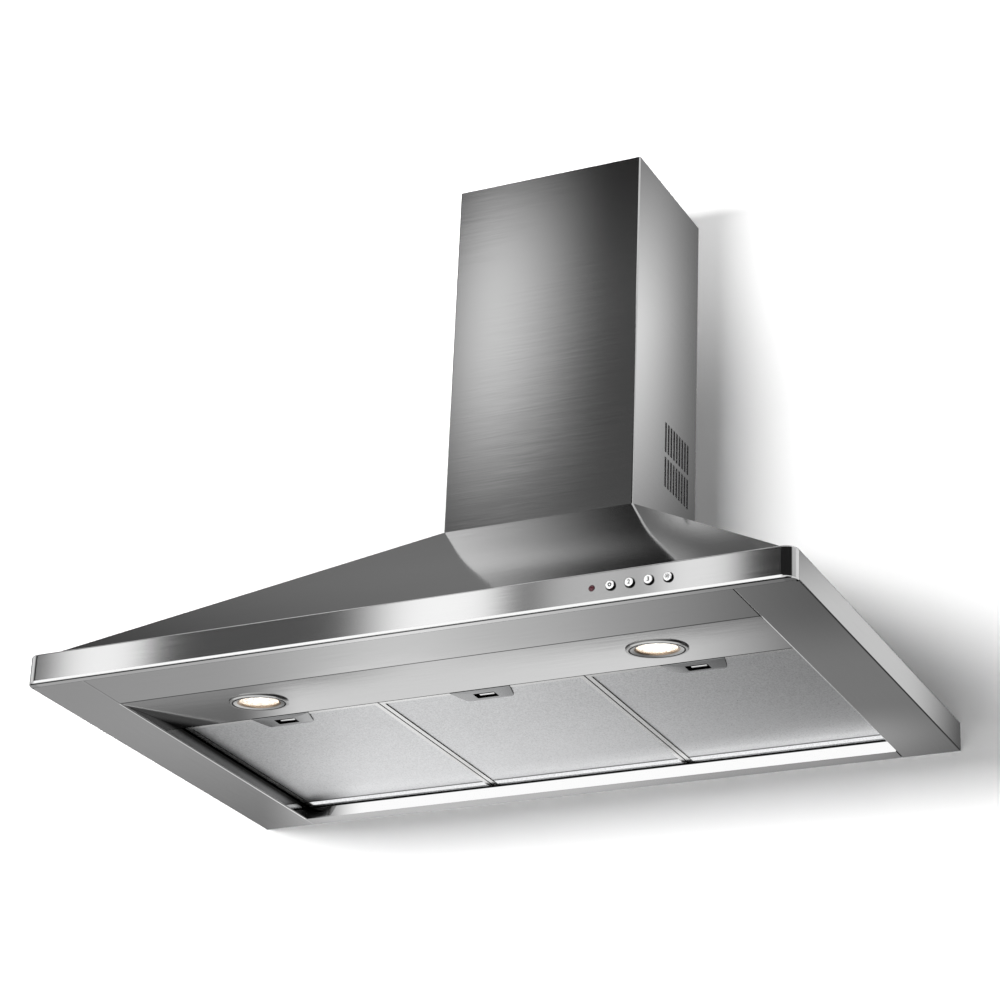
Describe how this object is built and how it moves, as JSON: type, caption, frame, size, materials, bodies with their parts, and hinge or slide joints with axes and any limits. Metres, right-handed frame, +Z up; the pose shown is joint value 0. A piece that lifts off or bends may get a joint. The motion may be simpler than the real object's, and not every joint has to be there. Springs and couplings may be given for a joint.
{
  "type": "range hood",
  "caption": "Wall-mounted pyramid range hood with a telescoping chimney, tilting grease filters, spot lamps, push buttons and a centrifugal blower.",
  "frame": {"origin": "on the wall face, at the middle of the underside's rear edge", "axes": "+X to the hood's right as seen from the front, +Y into the wall, +Z up"},
  "size_m": [0.898, 0.5432, 0.742],
  "materials": {
    "steel_sheet": "horizontally brushed stainless sheet",
    "zinc_sheet": "plain zinc-coated sheet",
    "filter_metal": "satin aluminium",
    "filter_grip": "grey satin",
    "bright_metal": "polished",
    "lamp_glass": "clear pressed glass",
    "reflector": "faceted mirror",
    "red_lens": "tinted clear",
    "black_plastic": "fine grained",
    "grey_plastic": "moulded",
    "white_plastic": "moulded",
    "board": "lacquered",
    "motor_metal": "stamped and lacquered",
    "shaft_steel": "ground steel"
  },
  "bodies": {
    "hood": {"fascia": "steel_sheet", "left_side_panel": "steel_sheet", "right_side_panel": "steel_sheet", "lamp_panel": "steel_sheet", "rear_strip": "steel_sheet", "canopy_front_panel": "steel_sheet", "canopy_left_panel": "steel_sheet", "canopy_right_panel": "steel_sheet", "chimney_cover": "steel_sheet", "back_panel": "zinc_sheet", "canopy_deck": "zinc_sheet", "chimney_clips": "zinc_sheet", "chimney_wall_bracket": "zinc_sheet", "motor_bracket": "zinc_sheet", "left_lamp_bezel": "bright_metal", "left_lamp_lens": "lamp_glass", "left_lamp_bulb": "reflector", "left_lamp_holder": "white_plastic", "right_lamp_bezel": "bright_metal", "right_lamp_lens": "lamp_glass", "right_lamp_bulb": "reflector", "right_lamp_holder": "white_plastic", "switch_block": "black_plastic", "control_box": "black_plastic", "control_box_lid": "black_plastic", "cable_gland": "black_plastic", "indicator_lens": "red_lens", "blower_housing_left": "grey_plastic", "blower_housing_right": "grey_plastic", "outlet_collar": "grey_plastic", "collar_flange": "grey_plastic", "capacitor": "white_plastic", "flap_pin": "shaft_steel", "blower_screws": "shaft_steel", "motor_screws": "shaft_steel", "motor": "motor_metal", "control_board": "board"},
    "fan": {"impeller": "grey_plastic", "motor_shaft": "shaft_steel"},
    "front_flap": {"front_flap": "white_plastic"},
    "rear_flap": {"rear_flap": "white_plastic"},
    "extension": {"chimney_extension": "steel_sheet", "extension_bracket": "zinc_sheet"},
    "button_1": {"button_1": "bright_metal"},
    "button_2": {"button_2": "bright_metal"},
    "button_3": {"button_3": "bright_metal"},
    "button_4": {"button_4": "bright_metal"},
    "left_filter": {"left_filter_frame": "filter_metal", "left_filter_mesh": "filter_metal", "left_filter_handle": "filter_grip"},
    "left_latch": {"left_filter_latch": "filter_grip"},
    "middle_filter": {"middle_filter_frame": "filter_metal", "middle_filter_mesh": "filter_metal", "middle_filter_handle": "filter_grip"},
    "middle_latch": {"middle_filter_latch": "filter_grip"},
    "right_filter": {"right_filter_frame": "filter_metal", "right_filter_mesh": "filter_metal", "right_filter_handle": "filter_grip"},
    "right_latch": {"right_filter_latch": "filter_grip"}
  },
  "joints": [
    {"name": "fan_spin", "type": "hinge", "parent": "hood", "child": "fan", "pos_m": [0, -0.095, 0.184], "axis": [1, 0, 0], "continuous": true},
    {"name": "front_flap_hinge", "type": "hinge", "parent": "hood", "child": "front_flap", "pos_m": [0, -0.095, 0.317], "axis": [-1, 0, 0], "range_deg": [0, 70]},
    {"name": "rear_flap_hinge", "type": "hinge", "parent": "hood", "child": "rear_flap", "pos_m": [0, -0.095, 0.317], "axis": [1, 0, 0], "range_deg": [0, 70]},
    {"name": "extension_slide", "type": "slide", "parent": "hood", "child": "extension", "axis": [0, 0, 1], "range_m": [0, 0.24]},
    {"name": "button_1_press", "type": "slide", "parent": "hood", "child": "button_1", "axis": [0, 1, 0], "range_m": [0, 0.0024], "stiffness_N_per_m": 800},
    {"name": "button_2_press", "type": "slide", "parent": "hood", "child": "button_2", "axis": [0, 1, 0], "range_m": [0, 0.0024], "stiffness_N_per_m": 800},
    {"name": "button_3_press", "type": "slide", "parent": "hood", "child": "button_3", "axis": [0, 1, 0], "range_m": [0, 0.0024], "stiffness_N_per_m": 800},
    {"name": "button_4_press", "type": "slide", "parent": "hood", "child": "button_4", "axis": [0, 1, 0], "range_m": [0, 0.0024], "stiffness_N_per_m": 800},
    {"name": "left_filter_tilt", "type": "hinge", "parent": "hood", "child": "left_filter", "pos_m": [-0.25227, -0.022, 0.0165], "axis": [1, 0, 0], "range_deg": [0, 60]},
    {"name": "left_latch_pull", "type": "slide", "parent": "left_filter", "child": "left_latch", "axis": [0, 1, 0], "range_m": [0, 0.0036], "stiffness_N_per_m": 500},
    {"name": "middle_filter_tilt", "type": "hinge", "parent": "hood", "child": "middle_filter", "pos_m": [0, -0.022, 0.0165], "axis": [1, 0, 0], "range_deg": [0, 60]},
    {"name": "middle_latch_pull", "type": "slide", "parent": "middle_filter", "child": "middle_latch", "axis": [0, 1, 0], "range_m": [0, 0.0036], "stiffness_N_per_m": 500},
    {"name": "right_filter_tilt", "type": "hinge", "parent": "hood", "child": "right_filter", "pos_m": [0.25227, -0.022, 0.0165], "axis": [1, 0, 0], "range_deg": [0, 60]},
    {"name": "right_latch_pull", "type": "slide", "parent": "right_filter", "child": "right_latch", "axis": [0, 1, 0], "range_m": [0, 0.0036], "stiffness_N_per_m": 500}
  ]
}
